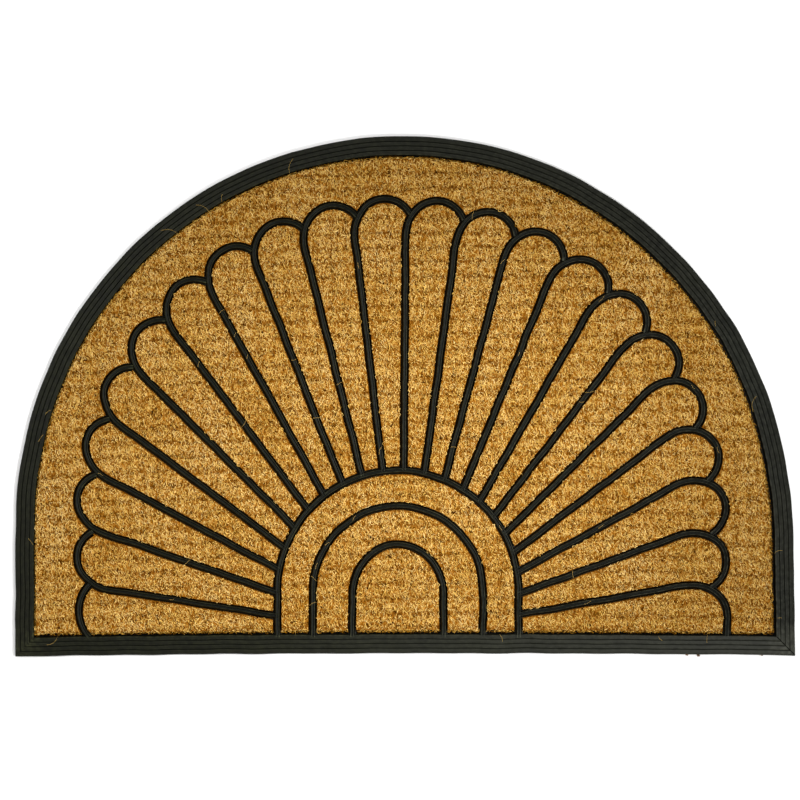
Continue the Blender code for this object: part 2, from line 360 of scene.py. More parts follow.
def d_point(along, reach):
    """Point on a D that runs parallel to the outline, from its lower left end."""
    leg = FAN_CENTRE.y - FOOT_LINE_Y
    half_turn = math.pi * FOLD_REACH
    if along < leg:
        return Vector((FAN_CENTRE.x - reach, FOOT_LINE_Y + along))
    if along > leg + half_turn:
        return Vector((FAN_CENTRE.x + reach, FAN_CENTRE.y - (along - leg - half_turn)))
    return FAN_CENTRE + reach * direction(180.0 - math.degrees((along - leg) / FOLD_REACH))


def swell(petal):
    """Share of the fan's swelling at a petal's place in the row, from 0 to 1."""
    return hump((petal - SWELL_AT) / SWELL_SPAN)


def fold_places():
    """Distances along the D of the folds between petals, with the foot line at both ends."""
    leg = FAN_CENTRE.y - FOOT_LINE_Y
    even = [FIRST_FOLD + FOLD_STEP * i - FOLD_STEP_SHRINK * i * i for i in range(PETALS - 1)]
    inner = [place + SWELL_ALONG * swell(i + 0.5) for i, place in enumerate(even)]
    return [0.0, *inner, 2.0 * leg + math.pi * FOLD_REACH]


def arch_crossing(heading):
    """Where a line from the fan's focus meets the outer arch."""
    offset = FAN_FOCUS - ARCHES_CENTRE
    radius = ARCHES_RADII[-1]
    along = offset.dot(heading)
    point = FAN_FOCUS + (-along + math.sqrt(along**2 - offset.length_squared + radius**2)) * heading
    if point.y < ARCHES_CENTRE.y:
        side = radius if heading.x > 0.0 else -radius
        point = FAN_FOCUS + (ARCHES_CENTRE.x + side - FAN_FOCUS.x) / heading.x * heading
    return point


def bezier_points(start, first_pull, second_pull, end, steps):
    points = []
    for i in range(steps + 1):
        t = i / steps
        s = 1.0 - t
        points.append(s**3 * start + 3 * s * s * t * first_pull + 3 * s * t * t * second_pull + t**3 * end)
    return points


def petal_stroke(index, folds):
    """Middle line of one petal: up its rib, over its shoulder and round its cap to the next petal."""
    first = index == 0
    last = index == PETALS - 1
    middle = (folds[index] + folds[index + 1]) / 2.0
    reach = FAN_REACH + SWELL_OUT * swell(index)
    radius = CAP_RADIUS
    foot_y = FOOT_LINE_Y - RIB_ROOT
    leg = []
    if first:
        reach -= FIRST_CAP_IN
        radius = FIRST_CAP_RADIUS
    if last:
        middle += LAST_CAP_DROP
        reach += LAST_CAP_OUT
        radius = LAST_CAP_RADIUS
    centre = d_point(middle, reach - radius)
    if last:
        end_angle = LAST_CAP_END_DEG
        tip = centre + radius * direction(end_angle)
        foot = Vector((tip.x + math.tan(math.radians(end_angle)) * (tip.y - foot_y), foot_y))
        leg = straight(foot, tip, STROKE_STEP)[::-1]
    else:
        fold_reach = FOLD_REACH + SWELL_OUT * swell(index + 0.5)
        end_angle = bearing(d_point(folds[index + 1], fold_reach) - centre)
    if first:
        start_angle = 180.0 + math.degrees(math.asin((centre.y - foot_y) / radius))
        rib = []
    else:
        axis = centre - FAN_FOCUS
        tangent_radius = SHOULDER_RADIUS + radius - CAP_RADIUS
        heading = direction(bearing(axis) + math.degrees(math.asin(tangent_radius / axis.length)))
        tangent_reach = math.sqrt(axis.length_squared - tangent_radius**2)
        shoulder = FAN_FOCUS + heading * (tangent_reach - SHOULDER_LENGTH)
        start_angle = bearing(axis) + SHOULDER_TURN_DEG
        cap_start = centre + radius * direction(start_angle)
        cap_heading = direction(start_angle - 90.0)
        pull = SHOULDER_PULL * (cap_start - shoulder).length
        pulls = (shoulder + pull * heading, cap_start - pull * cap_heading)
        turn = bezier_points(shoulder, *pulls, cap_start, SHOULDER_STEPS)
        rib = straight(arch_crossing(heading), shoulder, STROKE_STEP) + turn[:-1]
    while end_angle > start_angle:
        end_angle -= 360.0
    return rib + arc_points(centre, radius, start_angle, end_angle, STROKE_STEP) + leg


def arch_stroke(radius, rise, drop):
    """Middle line of one arch, from the border up one leg, over and down the other.

    The half circle springs lower by the drop and is stretched upwards by the rise.
    """
    foot_y = FOOT_LINE_Y - RIB_ROOT
    springing = ARCHES_CENTRE.y - drop
    over = arc_points(ARCHES_CENTRE, radius, 180.0, 0.0, STROKE_STEP)
    for point in over:
        point.y = springing + (point.y - ARCHES_CENTRE.y) * (radius + rise) / radius
    left = Vector((over[0].x, foot_y))
    right = Vector((over[-1].x, foot_y))
    return straight(left, over[0], STROKE_STEP) + over + straight(right, over[-1], STROKE_STEP)[::-1]


folds = fold_places()
strokes = [arch_stroke(*sizes) for sizes in zip(ARCHES_RADII, ARCHES_RISE, ARCHES_DROP)]
strokes += [petal_stroke(i, folds) for i in range(PETALS)]
length = sum((b - a).length for stroke in strokes for a, b in zip(stroke, stroke[1:]))
print(len(strokes), "rib strokes,", round(length, 2), "m of rib")

# %% [markdown]
# ## The rubber moulding
#
# The border is drawn the way its mould is cut: a flat blank in the mat's outline, whose top is inset lane
# by lane. Each lane climbs a little and ends in a fine groove, and an inset with even offset mitres the two
# lower corners by itself. The blank starts as a circle primitive with as many corners as the outline has
# points, and those corners are then moved onto the outline.

# %% Border blank
OUTER_EDGE = 3.0 * MM
EDGE_WAVER = 0.24 * MM
EDGE_WAVER_SIZE = 46.0 * MM
EDGE_WAVER_SEED = 5
# Each step goes in by the first number and up by the second, in millimetres.
EDGE_ROUNDING = ((0.30, 0.50), (0.70, 0.50))
LANE = ((0.35, 0.42), (1.30, 0.33), (1.50, 0.25), (0.50, 0.00))
GROOVE = ((0.35, -0.60), (0.45, 1.10))
INNER_SIDE = ((0.30, -0.45), (0.45, -3.55), (0.25, -3.50))
LANES = 4


def wavered(points, amount, size, seed):
    """The points, pushed about a little and smoothly."""
    return [
        p + amount * Vector((float(ripple(p.x, p.y, size, seed)), float(ripple(p.x, p.y, size, seed + 1))))
        for p in points
    ]


def blank(name, points, height):
    """A block with this outline, left in edit mode with its top selected."""
    bpy.ops.object.select_all(action="DESELECT")
    bpy.ops.mesh.primitive_circle_add(vertices=len(points), radius=ARCH_RADIUS, fill_type="NGON")
    obj = bpy.context.object
    obj.name = name
    for vertex, point in zip(obj.data.vertices, points):
        vertex.co = (*point, 0.0)
    bpy.ops.object.mode_set(mode="EDIT")
    bpy.ops.mesh.select_all(action="SELECT")
    bpy.ops.mesh.normals_make_consistent(inside=False)
    bpy.ops.mesh.extrude_region_move(TRANSFORM_OT_translate={"value": (0.0, 0.0, height)})
    return obj


rubber = blank("moulded_rubber", wavered(edge, EDGE_WAVER, EDGE_WAVER_SIZE, EDGE_WAVER_SEED), OUTER_EDGE)
steps = list(EDGE_ROUNDING)
for lane in range(LANES):
    steps += LANE + (GROOVE if lane < LANES - 1 else ())
for inwards, up in steps + list(INNER_SIDE):
    bpy.ops.mesh.inset(thickness=inwards * MM, depth=up * MM, use_even_offset=True)
close_edit()
print("border:", triangles(rubber), "triangles, inset", round(sum(s[0] for s in steps), 2), "mm to the coir")

# %% [markdown]
# The ribs are curves with one cross-section carried along them: a thin flange at the foot, dark sloping
# sides, a rounded top, and the shallow channel that runs along its middle. Where a cap ends against the next
# petal's shoulder, the last few millimetres dip, so the shoulder runs over it as it does on the mat. At the
# two lower corners, a fine cut marks the mitre, where the mould's two lengths meet.

# %% Ribs
RIB_HALF_SECTION = (
    (3.95, 5.20), (3.85, 5.45), (2.70, 5.80), (2.45, 7.40), (2.16, 8.50), (1.88, 9.22), (1.62, 9.60),
    (1.32, 9.72), (0.88, 9.36), (0.46, 8.86), (0.00, 8.70),
)
RIB_WAVER = 0.28 * MM
RIB_WAVER_SIZE = 34.0 * MM
RIB_WAVER_SEED = 11
RIB_DIP = 0.45 * MM
RIB_DIP_LENGTH = 7.0 * MM
# Each rib is this much lower than the one before, so that no two faces coincide where ribs are joined.
RIB_STAGGER = 0.004 * MM
MERGE_WITHIN = 0.01 * MM
SMOOTH_BELOW_DEG = 38.0
MITRE_HALF_SECTION = ((0.0, 0.0), (0.7, 2.0))
MITRE_CLIMB = 0.337
# Each corner's side, and the cut's height at the mat's edge, in millimetres: the left cut is a faint one.
MITRES = ((-1.0, 3.2), (1.0, 2.2))
# How far in from the mat's edge the cut's points are, in millimetres.
MITRE_POINTS = (0.6, 6.0, 12.0, BORDER_WIDTH / MM)


def section_curve(name, half_section):
    """A closed cross-section as a flat curve: X across the rib, Y its height."""
    right = [(x * MM, y * MM) for x, y in half_section]
    left = [(-x, y) for x, y in right[::-1] if x > 0.0]
    curve = bpy.data.curves.new(name, "CURVE")
    curve.dimensions = "2D"
    spline = curve.splines.new("POLY")
    corners = right + left
    spline.points.add(len(corners) - 1)
    for spot, (x, y) in zip(spline.points, corners):
        spot.co = (x, y, 0.0, 1.0)
    spline.use_cyclic_u = True
    section = bpy.data.objects.new(name, curve)
    bpy.context.scene.collection.objects.link(section)
    return section


def swept(name, points, heights, section):
    """The section carried along the points, closed at its ends and made a mesh."""
    curve = bpy.data.curves.new(name, "CURVE")
    curve.dimensions = "3D"
    curve.twist_mode = "Z_UP"
    curve.bevel_mode = "OBJECT"
    curve.bevel_object = section
    curve.use_fill_caps = True
    spline = curve.splines.new("POLY")
    spline.points.add(len(points) - 1)
    for spot, point, height in zip(spline.points, points, heights):
        spot.co = (point.x, point.y, height, 1.0)
    obj = bpy.data.objects.new(name, curve)
    bpy.context.scene.collection.objects.link(obj)
    pick_only(obj)
    bpy.ops.object.convert(target="MESH")
    obj = bpy.context.object
    bpy.ops.object.mode_set(mode="EDIT")
    bpy.ops.mesh.select_all(action="SELECT")
    bpy.ops.mesh.remove_doubles(threshold=MERGE_WITHIN)
    close_edit()
    return obj


def boolean(obj, operation, other):
    """Joins or cuts with another closed mesh, then removes that one."""
    modifier = obj.modifiers.new(operation.title(), "BOOLEAN")
    modifier.operation = operation
    modifier.object = other
    modifier.solver = "MANIFOLD"
    pick_only(obj)
    bpy.ops.object.modifier_apply(modifier=modifier.name)
    bpy.data.objects.remove(other, do_unlink=True)


rib_section = section_curve("rib_section", RIB_HALF_SECTION)
for index, stroke in enumerate(strokes):
    cap_ends_on_rib = len(ARCHES_RADII) <= index < len(strokes) - 1
    heights = []
    for point in stroke:
        to_end = (stroke[-1] - point).length
        dip = RIB_DIP * max(0.0, 1.0 - to_end / RIB_DIP_LENGTH) if cap_ends_on_rib else 0.0
        heights.append(-dip - RIB_STAGGER * index)
    middle_line = wavered(stroke, RIB_WAVER, RIB_WAVER_SIZE, RIB_WAVER_SEED)
    boolean(rubber, "UNION", swept(f"rib_{index:02d}", middle_line, heights, rib_section))
bpy.data.objects.remove(rib_section, do_unlink=True)

mitre_section = section_curve("mitre_section", MITRE_HALF_SECTION)
for side_x, low_end in MITRES:
    corner = max(range(len(edge)), key=lambda i: side_x * edge[i].x - edge[i].y)
    line = [parallel(edge, inwards * MM)[corner] for inwards in MITRE_POINTS]
    heights = [(low_end + MITRE_CLIMB * inwards) * MM for inwards in MITRE_POINTS]
    boolean(rubber, "DIFFERENCE", swept("mitre_cut", line, heights, mitre_section))
bpy.data.objects.remove(mitre_section, do_unlink=True)
pick_only(rubber)
bpy.ops.object.shade_smooth_by_angle(angle=math.radians(SMOOTH_BELOW_DEG))
print("rubber moulding:", triangles(rubber), "triangles")

# %% [markdown]
# ## The woven coir panel
#
# Coir matting of this kind is woven from thick, hairy yarn. From above, it is rows of round lumps with a
# dark line between the rows and a fainter one between the columns. On this mat the rows aren't straight:
# from the left they climb to a little past the middle, and then they fall. The panel starts as a grid,
# whose points are lifted by a function of the weave; its rim is pulled down and closed, and then it is cut
# to the outline and grooved for the ribs.

# %% The weave, in millimetres
ROW_PITCH = 14.04
ROW_START = 0.19
ROW_SLOPE = 0.0086
ROW_BOW = 0.000058
ROW_SHEAR = 0.0000315
COLUMN_PITCH = 14.2
COLUMN_START = 0.15
COLUMN_SLOPE = 0.02
# How far the lines wander, as a share of the pitch, over what length, and the seed of that wander.
ROW_WANDER = ((0.05, 60.0, 31), (0.020, 17.0, 32))
COLUMN_WANDER = ((0.04, 80.0, 33), (0.015, 20.0, 34))
# The lower this power, the narrower the line between two lumps.
ROW_ROUNDNESS = 0.6
COLUMN_ROUNDNESS = 0.7
# A lump's height comes from the row, the columns and the half columns, in these shares.
ROW_SHARE = 0.54
COLUMN_SHARE = 0.42
HALF_COLUMN_SHARE = 0.04
CROWN_HEIGHT = 10.9
LUMP_DEPTH = 1.25
LUMP_UNEVEN = 0.25
LUMP_UNEVEN_SIZE = 28.0
LUMP_UNEVEN_SEED = 35


def rows_and_columns(x, y):
    """Which row and column of lumps a place in millimetres is on; whole numbers are the lines between."""
    row = (y - ROW_SLOPE * x + ROW_BOW * x * x - ROW_SHEAR * x * y) / ROW_PITCH - ROW_START
    for share, size, seed in ROW_WANDER:
        row = row + share * ripple(x, y, size, seed)
    column = (x + COLUMN_SLOPE * y) / COLUMN_PITCH - COLUMN_START
    for share, size, seed in COLUMN_WANDER:
        column = column + share * ripple(x, y, size, seed)
    return row, column


def weave(x, y):
    """0 deep in the lines between the lumps, 1 on their crowns."""
    row, column = rows_and_columns(x, y)
    across_rows = np.abs(np.sin(math.pi * row)) ** ROW_ROUNDNESS
    across_columns = np.abs(np.sin(math.pi * column)) ** COLUMN_ROUNDNESS
    half_columns = np.abs(np.sin(2.0 * math.pi * column))
    return across_rows * (ROW_SHARE + COLUMN_SHARE * across_columns + HALF_COLUMN_SHARE * half_columns)


def coir_height(x, y):
    """Height of the woven surface in millimetres."""
    lump = CROWN_HEIGHT - LUMP_DEPTH * (1.0 - weave(x, y))
    return lump + LUMP_UNEVEN * ripple(x, y, LUMP_UNEVEN_SIZE, LUMP_UNEVEN_SEED)


# %% Panel
GRID_CELL = 2.3 * MM
PANEL_BOTTOM = 2.3 * MM
PANEL_MARGIN = 4.0 * MM
# The rim is first pulled down this far, well below the floor, so that its points are easy to find.
RIM_PULL = 0.1

low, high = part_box("coir_panel")
size_x = high.x - low.x + 2.0 * PANEL_MARGIN
size_y = high.y - low.y + 2.0 * PANEL_MARGIN
middle = (low + high) / 2.0
bpy.ops.object.select_all(action="DESELECT")
bpy.ops.mesh.primitive_grid_add(
    x_subdivisions=round(size_x / GRID_CELL),
    y_subdivisions=round(size_y / GRID_CELL),
    size=1.0,
    location=(middle.x, middle.y, CROWN_HEIGHT * MM),
)
panel = bpy.context.object
panel.name = "coir_matting"
panel.scale = (size_x, size_y, 1.0)
bpy.ops.object.transform_apply(location=True, rotation=True, scale=True)
co = corner_places(panel)
co[:, 2] = coir_height(co[:, 0] / MM, co[:, 1] / MM) * MM
panel.data.vertices.foreach_set("co", co.ravel())

bpy.ops.object.mode_set(mode="EDIT")
bpy.ops.mesh.select_mode(type="EDGE")
bpy.ops.mesh.select_all(action="DESELECT")
bpy.ops.mesh.select_non_manifold()
bpy.ops.mesh.extrude_region_move(TRANSFORM_OT_translate={"value": (0.0, 0.0, -RIM_PULL)})
bpy.ops.transform.resize(value=(1.0, 1.0, 0.0))
bpy.ops.mesh.edge_face_add()
bpy.ops.object.mode_set(mode="OBJECT")
co = corner_places(panel)
co[co[:, 2] < 0.0, 2] = PANEL_BOTTOM
panel.data.vertices.foreach_set("co", co.ravel())
pick_only(panel)
bpy.ops.object.mode_set(mode="EDIT")
close_edit()
print("panel blank:", triangles(panel), "triangles")

# %% Cut the panel to its outline and groove it for the ribs
TRENCH = 2.5 * MM
COIR_SHIFT = Vector((-1.4, -0.3)) * MM
FOOT_TRIM = 1.2 * MM
RAGGED_LEAST = 0.25 * MM
RAGGED = 0.45 * MM
RAGGED_SIZE = 10.0 * MM
RAGGED_SEED = 41
CUTTER_HEIGHT = 20.0 * MM
# A groove's cross-section, in millimetres: its floor, half its width, and a top above the coir.
GROOVE_FLOOR = 4.9
GROOVE_HALF = 4.3
GROOVE_TOP = 14.0
GROOVE_SHIFT = Vector((-0.25, -0.40)) * MM
GROOVE_STAGGER = 0.003 * MM


def ragged(points):
    """The outline, drawn in unevenly towards the middle, as cut matting is."""
    moved = []
    for point in points:
        unevenness = abs(float(ripple(point.x, point.y, RAGGED_SIZE, RAGGED_SEED)))
        inwards = RAGGED_LEAST + RAGGED * unevenness
        moved.append(point + (ARCH_CENTRE - point).normalized() * inwards)
    return moved


coir_edge = [point + COIR_SHIFT for point in parallel(edge, BORDER_WIDTH + INNER_WALL + TRENCH)]
foot_end = FOOT_LINE_Y + INNER_WALL + 2.0 * TRENCH
coir_edge = [point + Vector((0.0, FOOT_TRIM if point.y < foot_end else 0.0)) for point in coir_edge]
cutter = blank("coir_cutter", ragged(coir_edge), CUTTER_HEIGHT)
close_edit()
boolean(panel, "INTERSECT", cutter)
groove_lines = [[point + GROOVE_SHIFT for point in stroke] for stroke in strokes]
groove_section = section_curve(
    "groove_section", ((GROOVE_HALF, GROOVE_FLOOR), (GROOVE_HALF, GROOVE_TOP), (0.0, GROOVE_TOP))
)
for index, stroke in enumerate(groove_lines):
    middle_line = wavered(stroke, RIB_WAVER, RIB_WAVER_SIZE, RIB_WAVER_SEED)
    heights = [-GROOVE_STAGGER * index] * len(stroke)
    boolean(panel, "DIFFERENCE", swept(f"groove_{index:02d}", middle_line, heights, groove_section))
bpy.data.objects.remove(groove_section, do_unlink=True)
print("coir panel:", triangles(panel), "triangles")

# %% [markdown]
# ## Room for the fibres
#
# A fibre may lie anywhere on the coir, but not in a rib's groove. A map answers that quickly: a grid of
# small cells over the mat, each with its distance to the nearest rib's middle line and to the panel's edge.
# It is worked out here from the same strokes, segment by segment.

# %% Distance map, in millimetres
CELL = 0.5
MAP_MARGIN = 14.0
FAR = 12.0
# The coir's share of the mat is measured at points this far apart, this far either way from the middle.
PROBE_STEP = 2.0
PROBE_X = 350.0
PROBE_Y = 230.0
map_low = np.array([low.x / MM - MAP_MARGIN, low.y / MM - MAP_MARGIN])
map_shape = (
    int((high.x - low.x) / MM / CELL + 2 * MAP_MARGIN / CELL) + 2,
    int((high.y - low.y) / MM / CELL + 2 * MAP_MARGIN / CELL) + 2,
)


def distance_map(lines):
    """For each cell, the distance in millimetres to the nearest of these lines, up to FAR."""
    nearest = np.full(map_shape, FAR)
    for line in lines:
        spots = np.array([(p.x / MM, p.y / MM) for p in line])
        for a, b in zip(spots[:-1], spots[1:]):
            first = np.maximum(((np.minimum(a, b) - FAR - map_low) / CELL).astype(int), 0)
            last = np.minimum(((np.maximum(a, b) + FAR - map_low) / CELL).astype(int) + 1, map_shape)
            if (last <= first).any():
                continue
            gx = map_low[0] + CELL * np.arange(first[0], last[0])[:, None]
            gy = map_low[1] + CELL * np.arange(first[1], last[1])[None, :]
            along = b - a
            share = ((gx - a[0]) * along[0] + (gy - a[1]) * along[1]) / max(along @ along, 1e-9)
            share = np.clip(share, 0.0, 1.0)
            away = np.hypot(gx - a[0] - share * along[0], gy - a[1] - share * along[1])
            part = nearest[first[0] : last[0], first[1] : last[1]]
            np.minimum(part, away, out=part)
    return nearest


def inside_map(line):
    """1 inside a closed line and 0 outside, cell by cell: a row of cells is filled between crossings."""
    spots = np.array([(p.x / MM, p.y / MM) for p in line])
    ys = map_low[1] + CELL * np.arange(map_shape[1])
    xs = map_low[0] + CELL * np.arange(map_shape[0])
    crossings = np.zeros(map_shape, int)
    for a, b in zip(spots, np.roll(spots, -1, axis=0)):
        if a[1] == b[1]:
            continue
        rows = (ys >= min(a[1], b[1])) & (ys < max(a[1], b[1]))
        if not rows.any():
            continue
        at = a[0] + (ys[rows] - a[1]) * (b[0] - a[0]) / (b[1] - a[1])
        crossings[:, rows] += xs[:, None] < at[None, :]
    return crossings % 2 == 1


rib_distance = distance_map(groove_lines)
edge_distance = distance_map([coir_edge + coir_edge[:1]])
edge_distance[~inside_map(coir_edge)] *= -1.0


def read_map(values, x, y):
    """The map's value at places in millimetres."""
    i = np.clip(((x - map_low[0]) / CELL + 0.5).astype(int), 0, map_shape[0] - 1)
    j = np.clip(((y - map_low[1]) / CELL + 0.5).astype(int), 0, map_shape[1] - 1)
    return values[i, j]


def room(x, y):
    """Distance to the nearest place where coir ends: above 0 on the coir, below 0 off it."""
    return np.minimum(read_map(rib_distance, x, y) - GROOVE_HALF, read_map(edge_distance, x, y))


probes = np.meshgrid(np.arange(-PROBE_X, PROBE_X, PROBE_STEP), np.arange(-PROBE_Y, PROBE_Y, PROBE_STEP))
open_share = (room(*probes) > 0.0).mean()
print("coir shows on", round(100 * open_share), "% of its box")

# %% [markdown]
# ## The fibres
#
# A coir fibre is a stiff, slightly bent hair, 0.2 to 0.5 mm thick. Cut and brushed, millions of them make
# the surface. Here each one that shows is a sliver of six triangles: two tips and three points round its
# middle, which is bent aside. They are made together as arrays, because one operator call for each would
# take hours, and they are drawn slightly thicker than life so that they show at the picture's scale.

# %% Fibre meshes
RING = np.radians([90.0, 210.0, 330.0])
SLIVER_FACES = np.array([[0, 2, 1], [0, 3, 2], [0, 1, 3], [4, 1, 2], [4, 2, 3], [4, 3, 1]])
SLIVER_CORNERS = 5


def slivers(centre, heading, length, width, bend, lift, dip, roll):
    """Corner places, five for each fibre. All sizes in millimetres; heading in radians from +X."""
    along = np.stack([np.cos(heading), np.sin(heading), np.zeros_like(heading)], axis=1)
    side = np.stack([-along[:, 1], along[:, 0], along[:, 2]], axis=1)
    up = np.array([0.0, 0.0, 1.0])
    half = along * (length / 2.0)[:, None]
    start = centre - half - up * dip[:, :1]
    end = centre + half - up * dip[:, 1:]
    middle = centre + side * bend[:, None] + up * lift[:, None]
    ring = []
    for angle in RING:
        sideways = side * (np.cos(angle + roll) * width / 2.0)[:, None]
        upwards = up * (np.sin(angle + roll) * width / 2.0)[:, None]
        ring.append(middle + sideways + upwards)
    return np.stack([start, *ring, end], axis=1)


def fibre_mesh(name, corners, shade, material):
    """One mesh of all these fibres, with each one's shade kept as an attribute."""
    count = len(corners)
    faces = (SLIVER_FACES[None] + SLIVER_CORNERS * np.arange(count)[:, None, None]).reshape(-1, 3)
    mesh = bpy.data.meshes.new(name)
    mesh.vertices.add(count * SLIVER_CORNERS)
    mesh.vertices.foreach_set("co", (corners * MM).ravel())
    mesh.loops.add(faces.size)
    mesh.loops.foreach_set("vertex_index", faces.ravel())
    mesh.polygons.add(len(faces))
    mesh.polygons.foreach_set("loop_start", np.arange(0, faces.size, 3))
    mesh.polygons.foreach_set("loop_total", np.full(len(faces), 3))
    mesh.update()
    mesh.validate()
    mesh.shade_flat()
    keep_values(mesh, "shade", np.repeat(shade, SLIVER_CORNERS))
    mesh.materials.append(material)
    obj = bpy.data.objects.new(name, mesh)
    bpy.context.scene.collection.objects.link(obj)
    return obj


# %% [markdown]
# ## Materials
#
# The rubber is compression-moulded, carbon-black rubber: almost black with a faint green-grey bloom, fine
# grit, and a soft sheen that is patchy where the mould released it. Its ridges are rubbed grey in patches
# and carry a painted highlight as well, paler towards the right as a painted light from that side, and the
# right half of the straight edge has a painted sheen. Its hollows, and the ribs set down among the coir, get
# a painted shade. The coir is brown husk fibre: each hair has its own shade from near black to straw, and its
# waxy skin gives a weak, broad shine.

# %% Moulded rubber: black, with bloom and grit
# A Mix node's two inlets and its outlet, when it mixes colours.
MIX_FROM = 6
MIX_TO = 7
MIX_RESULT = 2
# The size of each pattern's patches. The grit is finer than this on the mat, and is drawn as coarse as shows.
BLOOM = 45.0 * MM
GRIT = 1.1 * MM
SMEAR = 9.0 * MM
DUST = "#302f24"

rubber_finish, tree, shader, place = new_material("moulded_black_rubber")
bloom = add_node(
    tree, "TexNoise", {"Vector": place, "Scale": 1.0 / BLOOM, "Detail": 4.0, "Roughness": 0.6}
)
grit = add_node(
    tree, "TexNoise", {"Vector": place, "Scale": 1.0 / GRIT, "Detail": 3.0, "Roughness": 0.65}
)
smear = add_node(
    tree, "TexNoise", {"Vector": place, "Scale": 1.0 / SMEAR, "Detail": 5.0, "Roughness": 0.7}
)
tint = add_node(tree, "ValToRGB", {"Fac": bloom.outputs["Fac"]}, [(0.35, "#080903"), (0.70, "#0f1006")])
dust = add_node(
    tree, "MapRange", {"Value": grit.outputs["Fac"], "From Min": 0.60, "From Max": 0.80, "To Max": 0.20}
)
mix = add_node(
    tree,
    "Mix",
    {0: dust.outputs["Result"], MIX_FROM: tint.outputs["Color"], MIX_TO: linear(DUST)},
    data_type="RGBA",
)
print("black rubber:", len(tree.nodes), "nodes, grit", GRIT / MM, "mm")

# %% Moulded rubber: rubbed ridges, with a painted highlight
RIDGE_PATCH = 4.2 * MM
# The ridges' wear and painted highlight grow paler towards the right, a painted light from that side: their
# colours, and where on X the change starts and stops.
WEAR_AND_HIGHLIGHT_LEFT = "#3d3f28"
WEAR_AND_HIGHLIGHT_RIGHT = "#56574b"
LIGHT_FROM_RIGHT_X = (-0.14, 0.34)

shape = add_node(tree, "NewGeometry")
# The ridges are convex places, rubbed grey in patches; the same paint also stands for a highlight along them.
ridge = add_node(
    tree,
    "MapRange",
    {"Value": shape.outputs["Pointiness"], "From Min": 0.51, "From Max": 0.60, "To Max": 1.0},
)
patches = add_node(
    tree, "TexNoise", {"Vector": place, "Scale": 1.0 / RIDGE_PATCH, "Detail": 3.0, "Roughness": 0.6}
)
patchy = add_node(
    tree,
    "MapRange",
    {"Value": patches.outputs["Fac"], "From Min": 0.40, "From Max": 0.64, "To Min": 0.15, "To Max": 1.0},
)
wear_and_highlight = add_node(tree, "Math", {0: ridge.outputs["Result"], 1: patchy.outputs["Result"]}, operation="MULTIPLY")
axes = add_node(tree, "SeparateXYZ", {"Vector": place})
towards_light = add_node(
    tree, "MapRange", {"Value": axes.outputs["X"], "From Min": LIGHT_FROM_RIGHT_X[0], "From Max": LIGHT_FROM_RIGHT_X[1]}
)
wear_and_highlight_colour = add_node(
    tree,
    "Mix",
    {0: towards_light.outputs["Result"], MIX_FROM: linear(WEAR_AND_HIGHLIGHT_LEFT), MIX_TO: linear(WEAR_AND_HIGHLIGHT_RIGHT)},
    data_type="RGBA",
)
rubbed_and_highlit = add_node(
    tree,
    "Mix",
    {0: wear_and_highlight.outputs["Value"], MIX_FROM: mix.outputs[MIX_RESULT], MIX_TO: wear_and_highlight_colour.outputs[MIX_RESULT]},
    data_type="RGBA",
)
print("rubbed ridges: patches of", RIDGE_PATCH / MM, "mm, from", WEAR_AND_HIGHLIGHT_LEFT, "to", WEAR_AND_HIGHLIGHT_RIGHT)

# %% Moulded rubber: painted sheen on the straight edge, painted shade in the hollows and among the coir
# A painted sheen lies in patches on the straight edge's right half, where it would catch the light: where on
# Y that starts and is full.
PAINTED_SHEEN_Y = (-0.218, -0.232)
PAINTED_SHEEN = "#393a32"
# Painted shade: its colour on the ribs among the coir, and then in the hollows.
COIR_SHADE = "#050603"
HOLLOW_SHADE = "#030402"

# Painted sheen: towards the right and towards the straight edge, the rubber is mixed in patches to a paler
# grey.
towards_edge = add_node(
    tree, "MapRange", {"Value": axes.outputs["Y"], "From Min": PAINTED_SHEEN_Y[0], "From Max": PAINTED_SHEEN_Y[1]}
)
sheen_corner = add_node(
    tree, "Math", {0: towards_light.outputs["Result"], 1: towards_edge.outputs["Result"]}, operation="MULTIPLY"
)
sheen_patches = add_node(
    tree,
    "MapRange",
    {"Value": smear.outputs["Fac"], "From Min": 0.3, "From Max": 0.7, "To Min": 0.10, "To Max": 0.55},
)
sheen_share = add_node(
    tree, "Math", {0: sheen_corner.outputs["Value"], 1: sheen_patches.outputs["Result"]}, operation="MULTIPLY"
)
with_painted_sheen = add_node(
    tree,
    "Mix",
    {0: sheen_share.outputs["Value"], MIX_FROM: rubbed_and_highlit.outputs[MIX_RESULT], MIX_TO: linear(PAINTED_SHEEN)},
    data_type="RGBA",
)
# Painted shade: rubber inside the coir's rim, the ribs set down among the coir, is mixed part way to near
# black.
coir_shade_mask = add_node(tree, "Attribute", attribute_name="coir_shade_mask")
coir_shade_share = add_node(tree, "MapRange", {"Value": coir_shade_mask.outputs["Fac"], "To Min": 0.0, "To Max": 0.28})
with_coir_shade = add_node(
    tree,
    "Mix",
    {0: coir_shade_share.outputs["Result"], MIX_FROM: with_painted_sheen.outputs[MIX_RESULT], MIX_TO: linear(COIR_SHADE)},
    data_type="RGBA",
)
# Painted shade in the hollows: where the surface is concave, the colour is mixed towards near black.
hollow_shade = add_node(
    tree,
    "MapRange",
    {"Value": shape.outputs["Pointiness"], "From Min": 0.49, "From Max": 0.43, "To Max": 0.75},
)
shaded = add_node(
    tree,
    "Mix",
    {0: hollow_shade.outputs["Result"], MIX_FROM: with_coir_shade.outputs[MIX_RESULT], MIX_TO: linear(HOLLOW_SHADE)},
    data_type="RGBA",
)
tree.links.new(shaded.outputs[MIX_RESULT], shader.inputs["Base Color"])
